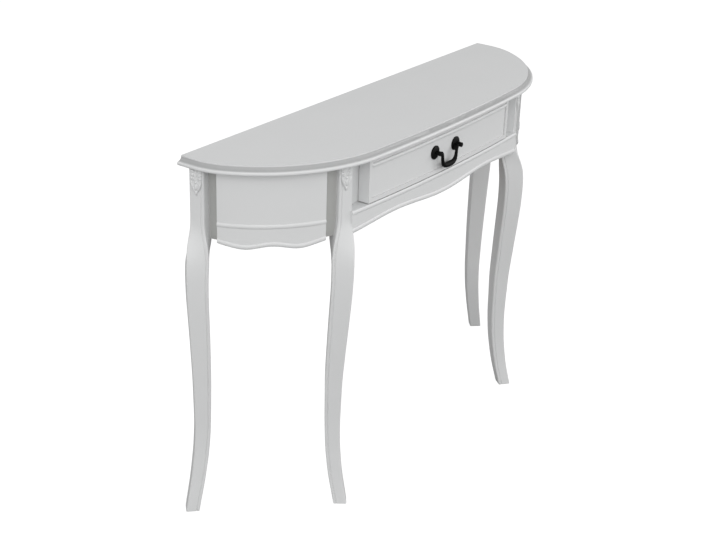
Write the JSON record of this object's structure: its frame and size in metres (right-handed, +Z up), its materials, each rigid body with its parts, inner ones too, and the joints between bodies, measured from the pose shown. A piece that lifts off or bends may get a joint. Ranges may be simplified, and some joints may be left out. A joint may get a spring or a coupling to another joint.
{
  "type": "demilune table",
  "caption": "White painted half-round console table on cabriole legs, with a bowed frieze drawer, a swinging bail handle, carved knees and a waved skirt.",
  "frame": {"origin": "on the floor, midway along the wall side and midway from the straight back edge of the top to its bowed front edge", "axes": "+X along the wall, +Y towards the wall so that the drawer faces -Y, +Z up"},
  "size_m": [1.1558, 0.283, 0.78],
  "materials": {
    "white_paint": "satin white paint on wood",
    "inner_wood": "bare planed softwood",
    "floor_panel": "bare thin panel",
    "black_iron": "black cast metal",
    "screw_steel": "plain steel"
  },
  "bodies": {
    "frame": {"table_top": "white_paint", "leg_front_left": "white_paint", "leg_front_right": "white_paint", "leg_back_left": "white_paint", "leg_back_right": "white_paint", "knee_carving_front_left": "white_paint", "knee_carving_front_right": "white_paint", "knee_carving_back_left": "white_paint", "knee_carving_back_right": "white_paint", "side_panel_left": "white_paint", "side_panel_right": "white_paint", "side_apron_left": "white_paint", "side_apron_right": "white_paint", "front_rail": "white_paint", "drawer_stile_left": "white_paint", "drawer_stile_right": "white_paint", "back_rail": "inner_wood", "upper_front_rail": "inner_wood", "drawer_runner_left": "inner_wood", "drawer_runner_right": "inner_wood", "drawer_guide_left": "inner_wood", "drawer_guide_right": "inner_wood", "drawer_kicker_left": "inner_wood", "drawer_kicker_right": "inner_wood", "top_screws": "screw_steel"},
    "drawer": {"drawer_front": "white_paint", "drawer_side_left": "inner_wood", "drawer_side_right": "inner_wood", "drawer_back": "inner_wood", "drawer_floor": "floor_panel", "handle_rosette_left": "black_iron", "handle_rosette_right": "black_iron", "handle_screws": "screw_steel"},
    "bail": {"handle_bail": "black_iron"}
  },
  "joints": [
    {"name": "drawer_slide", "type": "slide", "parent": "frame", "child": "drawer", "axis": [0, -1, 0], "range_m": [0, 0.14]},
    {"name": "bail_hinge", "type": "hinge", "parent": "drawer", "child": "bail", "pos_m": [0, -0.129, 0.711], "axis": [-1, 0, 0], "range_deg": [0, 100]}
  ]
}
